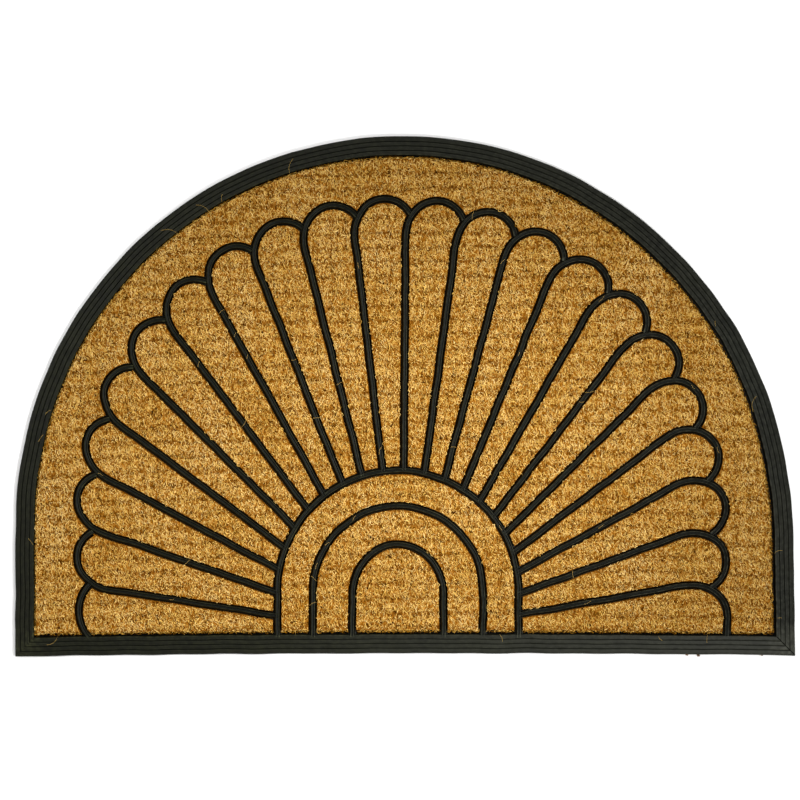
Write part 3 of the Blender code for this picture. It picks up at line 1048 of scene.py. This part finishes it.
# The painted shade's mask: each corner of the rubber inside the coir's rim.
inside = read_map(edge_distance, *(corner_places(rubber)[:, :2] / MM).T) > -TRENCH / MM
keep_values(rubber.data, "coir_shade_mask", inside)
print("corners of the rubber that the coir shelters:", round(100 * inside.mean()), "%")

# %% Moulded rubber: sheen and surface
SMEAR_DEPTH = 0.25 * MM
GRIT_DEPTH = 0.12 * MM

sheen = add_node(
    tree,
    "MapRange",
    {"Value": smear.outputs["Fac"], "From Min": 0.3, "From Max": 0.7, "To Min": 0.42, "To Max": 0.64},
)
uneven = add_node(tree, "Bump", {"Height": smear.outputs["Fac"], "Strength": 0.5, "Distance": SMEAR_DEPTH})
grain = add_node(
    tree,
    "Bump",
    {
        "Height": grit.outputs["Fac"],
        "Strength": 0.6,
        "Distance": GRIT_DEPTH,
        "Normal": uneven.outputs["Normal"],
    },
)
shader.inputs["IOR"].default_value = 1.5
shader.inputs["Specular IOR Level"].default_value = 0.13
tree.links.new(sheen.outputs["Result"], shader.inputs["Roughness"])
tree.links.new(grain.outputs["Normal"], shader.inputs["Normal"])
rubber.data.materials.clear()
rubber.data.materials.append(rubber_finish)
print("moulded rubber:", len(tree.nodes), "nodes in all")

# %% Coir yarn, under the fibres
# Packed husk fibre in the depth of the weave: dark brown, with lighter hairs that run mostly up and down the
# picture, as the noise is turned and stretched that way. Its height is kept as an attribute, and the lines
# between the lumps get a painted shade, darker than the crowns.
YARN_HAIR = 1.2 * MM
YARN_HAIR_DEPTH = 0.6 * MM
YARN_TURN = math.radians(18.0)
YARN_STRETCH = (1.0, 0.3, 1.0)
YARN_LINE_SHADE = "#3b1900"

yarn_finish, tree, shader, place = new_material("woven_coir_yarn")
squeezed = add_node(
    tree, "Mapping", {"Vector": place, "Rotation": (0.0, 0.0, YARN_TURN), "Scale": YARN_STRETCH}
)
hairs = add_node(
    tree,
    "TexNoise",
    {"Vector": squeezed.outputs["Vector"], "Scale": 1.0 / YARN_HAIR, "Detail": 4.0, "Roughness": 0.7},
)
colour = add_node(
    tree, "ValToRGB", {"Fac": hairs.outputs["Fac"]}, [(0.32, "#321300"), (0.70, "#c4954a"), (0.52, "#855104")]
)
crown = add_node(tree, "Attribute", attribute_name="crown")
line_shade_share = add_node(tree, "MapRange", {"Value": crown.outputs["Fac"], "To Min": 0.50, "To Max": 0.0})
yarn_with_line_shade = add_node(
    tree,
    "Mix",
    {0: line_shade_share.outputs["Result"], MIX_FROM: colour.outputs["Color"], MIX_TO: linear(YARN_LINE_SHADE)},
    data_type="RGBA",
)
hair_bump = add_node(
    tree, "Bump", {"Height": hairs.outputs["Fac"], "Strength": 0.9, "Distance": YARN_HAIR_DEPTH}
)
tree.links.new(yarn_with_line_shade.outputs[MIX_RESULT], shader.inputs["Base Color"])
tree.links.new(hair_bump.outputs["Normal"], shader.inputs["Normal"])
shader.inputs["Roughness"].default_value = 0.9
shader.inputs["Specular IOR Level"].default_value = 0.06
panel.data.materials.clear()
panel.data.materials.append(yarn_finish)
heights = weave(*(corner_places(panel)[:, :2] / MM).T)
keep_values(panel.data, "crown", heights)
print("coir yarn:", len(tree.nodes), "nodes, mean height in the weave", round(float(heights.mean()), 2))

# %% Coir fibre
# One hair of husk fibre: the shade attribute picks its colour, from near black to pale straw, and a fine
# noise along it gives the small changes of a natural fibre.
FLECK = 1.6 * MM
FLECK_SHADE = 0.16

fibre_finish, tree, shader, place = new_material("brown_coir_fibre")
own = add_node(tree, "Attribute", attribute_name="shade")
fleck = add_node(tree, "TexNoise", {"Vector": place, "Scale": 1.0 / FLECK, "Detail": 2.0})
fleck_range = add_node(
    tree, "MapRange", {"Value": fleck.outputs["Fac"], "To Min": -FLECK_SHADE, "To Max": FLECK_SHADE}
)
together = add_node(tree, "Math", {0: own.outputs["Fac"], 1: fleck_range.outputs["Result"]}, operation="ADD")
hue = add_node(
    tree,
    "ValToRGB",
    {"Fac": together.outputs["Value"]},
    [(0.0, "#2c1000"), (1.0, "#dcc083"), (0.25, "#8a5c08"), (0.50, "#cba24e"), (0.75, "#d7b56f")],
)
tree.links.new(hue.outputs["Color"], shader.inputs["Base Color"])
shader.inputs["Roughness"].default_value = 0.62
shader.inputs["IOR"].default_value = 1.5
shader.inputs["Specular IOR Level"].default_value = 0.03
print("coir fibre:", len(tree.nodes), "nodes")

# %% [markdown]
# ## Laying the fibres
#
# Fibres are dropped at random over the coir, and most lie up and down the picture, leaning a little left, as
# they do in the photograph. One that would hang over a rib is turned another way and shortened, or dropped
# if that doesn't help, so the grooves stay open with only a ragged edge. Fewer fibres lie in the lines
# between the rows. Some are short and dark, mostly in those lines, which makes the lines show: they are
# painted shade, for the dark gaps between fibre tips. A few are thick and nearly black. Lengths are in
# millimetres.

# %% Where the surface fibres lie
FIBRES = 122000
# Spots drawn for each fibre, as many of them fall where there is no coir.
SPARE = 1.6
LEAN = math.radians(108.0)
LEAN_SPREAD = math.radians(42.0)
OTHER_WAY = math.radians(90.0)
LENGTH = 3.6
LENGTH_SPREAD = 0.35
SHORTER = 0.8
OVERHANG = 0.30
RIM_SLACK = 0.1
TRIES = 4
KEPT_IN_LINES = 0.55
MORE_ON_CROWNS = 0.45

draw = np.random.default_rng(SEED)
wanted = int(FIBRES / open_share * SPARE)
x = draw.uniform(low.x / MM, high.x / MM, wanted)
y = draw.uniform(low.y / MM, high.y / MM, wanted)
keep = (room(x, y) > -RIM_SLACK) & (draw.random(wanted) < KEPT_IN_LINES + MORE_ON_CROWNS * weave(x, y))
x, y = x[keep], y[keep]
length = LENGTH * np.exp(LENGTH_SPREAD * draw.standard_normal(len(x)))
heading = LEAN + LEAN_SPREAD * draw.standard_normal(len(x))
overhang = OVERHANG * draw.exponential(1.0, len(x))
fits = np.zeros(len(x), bool)
for _ in range(TRIES):
    reach_x = np.cos(heading) * length / 2.0
    reach_y = np.sin(heading) * length / 2.0
    fits |= (room(x + reach_x, y + reach_y) > -overhang) & (room(x - reach_x, y - reach_y) > -overhang)
    turn = LEAN + OTHER_WAY * draw.standard_normal(len(x))
    heading = np.where(fits, heading, turn)
    length = np.where(fits, length, length * SHORTER)
print("fibres that fit:", fits.sum(), "of which are laid:", FIBRES)
x, y, length, heading = (values[fits][:FIBRES] for values in (x, y, length, heading))

# %% Surface fibres
WIDTH = 0.75
WIDTH_SPREAD = 0.25
# The fibres fill a layer this thick, which starts this far below the woven surface.
LAYER = 1.0
SINK = 0.35
BEND = 0.14
ROLL = math.radians(35.0)
LIFT = 0.45
DIP = 0.9
SHADE = 0.565
SHADE_SPREAD = 0.11
# Painted shade: fibres lower in the layer are darker, and so are those in the lines between the rows.
DEPTH_SHADE = 0.10
LINE_SHADE = 0.03
# How much the shade drifts over the mat, over what length, and the seed of that drift.
SHADE_DRIFT = ((0.05, 90.0, 51), (0.03, 22.0, 52))
# The share of dark flecks, which are painted shade for the gaps between fibre tips, and what it is multiplied
# by in the lines and on the crowns.
SHADOW_FLECK_SHARE = 0.12
SHADOW_FLECK_IN_LINES = 2.30
SHADOW_FLECK_ON_CROWNS = 0.45
SHADOW_FLECK_SHADE = 0.14
SHADOW_FLECK_LENGTH = 0.52
SHADOW_FLECK_WIDTH = 1.25
SHADOW_FLECK_LIFT = 0.35
# A few fibres are made thick and nearly black, and lifted on top.
BLACK_BITS = 90
BLACK_BIT_LENGTH = 2.8
BLACK_BIT_WIDTH = 1.8
BLACK_BIT_LIFT = 1.0


def unruly(length, lift, dip):
    """How each fibre bends aside, rises in the middle, dips at its tips and rolls."""
    count = len(length)
    return {
        "bend": BEND * length * draw.standard_normal(count),
        "lift": draw.uniform(0.0, lift, count),
        "dip": draw.uniform(0.0, dip, (count, 2)),
        "roll": ROLL * draw.standard_normal(count),
    }


count = len(x)
crown_here = weave(x, y)
layer = draw.random(count)
centre = np.stack([x, y, coir_height(x, y) - SINK + LAYER * layer], axis=1)
width = WIDTH * np.exp(WIDTH_SPREAD * draw.standard_normal(count))
shade = SHADE + SHADE_SPREAD * draw.standard_normal(count) + DEPTH_SHADE * (layer - 0.5)
shade -= LINE_SHADE * (1.0 - crown_here)
shade += sum(amount * ripple(x, y, size, seed) for amount, size, seed in SHADE_DRIFT)
shadow_fleck = draw.random(count) < SHADOW_FLECK_SHARE * (SHADOW_FLECK_IN_LINES - (SHADOW_FLECK_IN_LINES - SHADOW_FLECK_ON_CROWNS) * crown_here)
shade = np.where(shadow_fleck, draw.uniform(0.0, SHADOW_FLECK_SHADE, count), shade)
length = np.where(shadow_fleck, SHADOW_FLECK_LENGTH * length, length)
width = np.where(shadow_fleck, SHADOW_FLECK_WIDTH * width, width)
centre[shadow_fleck, 2] += SHADOW_FLECK_LIFT
black_bit = np.arange(count) < BLACK_BITS
shade = np.where(black_bit, 0.0, shade)
width = np.where(black_bit, BLACK_BIT_WIDTH, width)
length = np.where(black_bit, BLACK_BIT_LENGTH, length)
centre[black_bit, 2] += BLACK_BIT_LIFT
surface = slivers(centre, heading, length, width, **unruly(length, LIFT, DIP))
print("surface fibres:", count, "of which", round(100 * shadow_fleck.mean()), "% are dark")

# %% [markdown]
# Along the panel's rim, where it was cut, a fringe of fibres hangs down into the narrow trench that the
# border
# leaves: the further out, the lower, and with painted shade of the trench, the darker. At three places a
# small tuft sticks out from under the straight edge. Both are made of the same slivers as the surface.

# %% Fringe
FRINGE = 5600
FRINGE_REACH = 2.3
# The higher this power, the more of the fringe keeps close to the rim.
FRINGE_CROWDING = 1.4
FRINGE_DROP = 1.2
FRINGE_SLOPE = 1.9
FRINGE_LENGTH = 2.8
FRINGE_LENGTH_SPREAD = 0.3
FRINGE_TURN = math.radians(30.0)
FRINGE_LIFT = 0.4
FRINGE_DIP = 0.8
# Painted shade of the trench: the fringe is darker than the surface, and darker still the further out it
# hangs.
FRINGE_SHADE = 0.40
FRINGE_TRENCH_SHADE = 0.14
FRINGE_SHADE_SPREAD = 0.12
# How far ahead along the rim its direction is taken.
AHEAD = 0.5

rim_spots = np.array([(p.x / MM, p.y / MM) for p in coir_edge + coir_edge[:1]])
rim_steps = np.hypot(*np.diff(rim_spots, axis=0).T)
rim_along = np.concatenate([[0.0], np.cumsum(rim_steps)])
spot = draw.uniform(0.0, rim_along[-1], FRINGE)
x, y = (np.interp(spot, rim_along, values) for values in rim_spots.T)
ahead_x, ahead_y = (np.interp(spot + AHEAD, rim_along, values) for values in rim_spots.T)
tangent = np.arctan2(ahead_y - y, ahead_x - x)
outwards = FRINGE_REACH * draw.random(FRINGE) ** FRINGE_CROWDING
x += np.sin(tangent) * outwards
y -= np.cos(tangent) * outwards
drop = FRINGE_DROP + FRINGE_SLOPE * outwards
clear = read_map(rib_distance, x, y) > GROOVE_HALF
length = FRINGE_LENGTH * np.exp(FRINGE_LENGTH_SPREAD * draw.standard_normal(FRINGE))
fringe = slivers(
    np.stack([x, y, CROWN_HEIGHT - drop], axis=1),
    tangent + FRINGE_TURN * draw.standard_normal(FRINGE),
    length,
    WIDTH * np.exp(WIDTH_SPREAD * draw.standard_normal(FRINGE)),
    **unruly(length, FRINGE_LIFT, FRINGE_DIP),
)
fringe_shade = FRINGE_SHADE - FRINGE_TRENCH_SHADE * outwards + FRINGE_SHADE_SPREAD * draw.standard_normal(FRINGE)
print("fringe:", clear.sum(), "fibres along", round(rim_along[-1]), "mm of rim")

# %% Tufts
# Where each tuft is along the straight edge, and how far it sticks out.
TUFTS = ((271.0, 1.4), (282.0, 2.6), (343.0, 0.9))
TUFT_FIBRES = 8
TUFT_SPREAD = 0.7
TUFT_HEIGHT = 1.0
TUFT_TURN = math.radians(25.0)
TUFT_ROOT = 1.0
TUFT_BEND = 0.2
TUFT_LIFT = 0.1
TUFT_SHADE = 0.3

tuft_x, tuft_reach = np.repeat(TUFTS, TUFT_FIBRES, axis=0).T
tuft_count = len(tuft_x)
tuft_x = tuft_x + TUFT_SPREAD * draw.standard_normal(tuft_count)
bottom_edge = [(p.x / MM, p.y / MM) for p in edge if p.y < BOTTOM_CORNER_Y + BOTTOM_BOW + BOTTOM_RISE]
bottom_edge = np.array(sorted(bottom_edge))
tuft_y = np.interp(tuft_x, bottom_edge[:, 0], bottom_edge[:, 1])
tuft_reach = tuft_reach * draw.uniform(0.5, 1.0, tuft_count)
tufts = slivers(
    np.stack([tuft_x, tuft_y - tuft_reach / 2.0, np.full(tuft_count, TUFT_HEIGHT)], axis=1),
    math.radians(90.0) + TUFT_TURN * draw.standard_normal(tuft_count),
    tuft_reach + TUFT_ROOT,
    np.full(tuft_count, WIDTH),
    bend=TUFT_BEND * draw.standard_normal(tuft_count),
    lift=np.full(tuft_count, TUFT_LIFT),
    dip=np.zeros((tuft_count, 2)),
    roll=draw.uniform(0.0, math.pi, tuft_count),
)
print("tufts:", len(TUFTS), "of", TUFT_FIBRES, "fibres")

# %% Fibre pieces
# The fibres are shuffled and shared out, so each piece stays small enough and reaches over the whole mat.
FIBRE_PIECES = 4

corners = np.concatenate([surface, fringe[clear], tufts])
shade = np.concatenate([shade, fringe_shade[clear], draw.uniform(0.0, TUFT_SHADE, tuft_count)])
order = draw.permutation(len(corners))
corners, shade, count = corners[order], np.clip(shade[order], 0.0, 1.0), len(corners)
fibre_pieces = []
for part in range(FIBRE_PIECES):
    chosen = slice(part * count // FIBRE_PIECES, (part + 1) * count // FIBRE_PIECES)
    name = f"coir_fibres_{part + 1}"
    fibre_pieces.append(fibre_mesh(name, corners[chosen], shade[chosen], fibre_finish))
print("fibres laid:", count, "in", FIBRE_PIECES, "pieces of", triangles(fibre_pieces[0]), "triangles")

# %% [markdown]
# ## Loose hairs
#
# A brushed coir mat sheds: single hairs lie across the ribs and the border. Each is a thin bent tube, a
# curve through four points with a bevel, made a mesh at the end. A few on the border are long and curved.

# %% Loose hairs, in millimetres
LOOSE_HAIRS = 46
LONG_HAIRS = 5
# Half of a hair's length, from and to, and how far its middle sways aside, as a share of that.
LONG_REACH = (6.5, 9.5)
LONG_SWAY = 0.35
SHORT_REACH = (2.0, 4.2)
SHORT_SWAY = 0.25
HAIR_POINTS = (-1.0, -0.35, 0.35, 1.0)
HAIR_RADIUS = 0.075
HAIR_SHADE = 0.60
# A hair rests on the coir on both sides of a rib, or climbs the border's lanes with them.
HAIR_TOP = 11.9
HAIR_LIFT = 0.3
LANE_FOOT = 4.3
LANE_CLIMB = 0.34
# The line along the border where hairs lie, in from the mat's edge.
BORDER_LINE = 15.0

draw = np.random.default_rng(SEED + 1)
curve = bpy.data.curves.new("loose_hairs", "CURVE")
curve.dimensions = "3D"
curve.bevel_depth = HAIR_RADIUS * MM
curve.bevel_resolution = 1
curve.resolution_u = 4
curve.use_fill_caps = True
rib_spots = [point for stroke in strokes for point in stroke[2:-2:3]]
border_line = parallel(edge, BORDER_LINE * MM)
coir_inset = (BORDER_WIDTH + INNER_WALL + TRENCH) / MM
for index in range(LOOSE_HAIRS):
    is_long = index < LONG_HAIRS
    spots = border_line if is_long or index % 4 == 0 else rib_spots
    base = spots[draw.integers(len(spots))]
    turn = draw.uniform(0.0, 2.0 * math.pi)
    reach = draw.uniform(*(LONG_REACH if is_long else SHORT_REACH))
    sway = draw.choice((-1.0, 1.0)) * reach * (LONG_SWAY if is_long else draw.uniform(0.0, SHORT_SWAY))
    spline = curve.splines.new("BEZIER")
    spline.bezier_points.add(len(HAIR_POINTS) - 1)
    for spot, share in zip(spline.bezier_points, HAIR_POINTS):
        px = base.x / MM + math.cos(turn) * reach * share - math.sin(turn) * sway * (1.0 - share * share)
        py = base.y / MM + math.sin(turn) * reach * share + math.cos(turn) * sway * (1.0 - share * share)
        inset = coir_inset + float(read_map(edge_distance, np.array([px]), np.array([py]))[0])
        pz = min(HAIR_TOP, LANE_FOOT + LANE_CLIMB * inset) + HAIR_LIFT * draw.random()
        spot.co = (px * MM, py * MM, pz * MM)
        spot.handle_left_type = spot.handle_right_type = "AUTO"
hairs_object = bpy.data.objects.new("loose_hairs", curve)
bpy.context.scene.collection.objects.link(hairs_object)
pick_only(hairs_object)
bpy.ops.object.convert(target="MESH")
loose = bpy.context.object
loose.name = "loose_hairs"
keep_values(loose.data, "shade", np.full(len(loose.data.vertices), HAIR_SHADE))
loose.data.materials.clear()
loose.data.materials.append(fibre_finish)
print("loose hairs:", triangles(loose), "triangles")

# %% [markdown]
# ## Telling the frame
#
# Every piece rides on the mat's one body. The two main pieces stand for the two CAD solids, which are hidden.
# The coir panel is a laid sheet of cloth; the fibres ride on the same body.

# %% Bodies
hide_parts("rubber_moulding")
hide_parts("coir_panel")
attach(rubber, "root")
for piece in (panel, *fibre_pieces, loose):
    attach(piece, "root")
added = sum(triangles(piece) for piece in (rubber, panel, *fibre_pieces, loose))
print("triangles in all:", added)
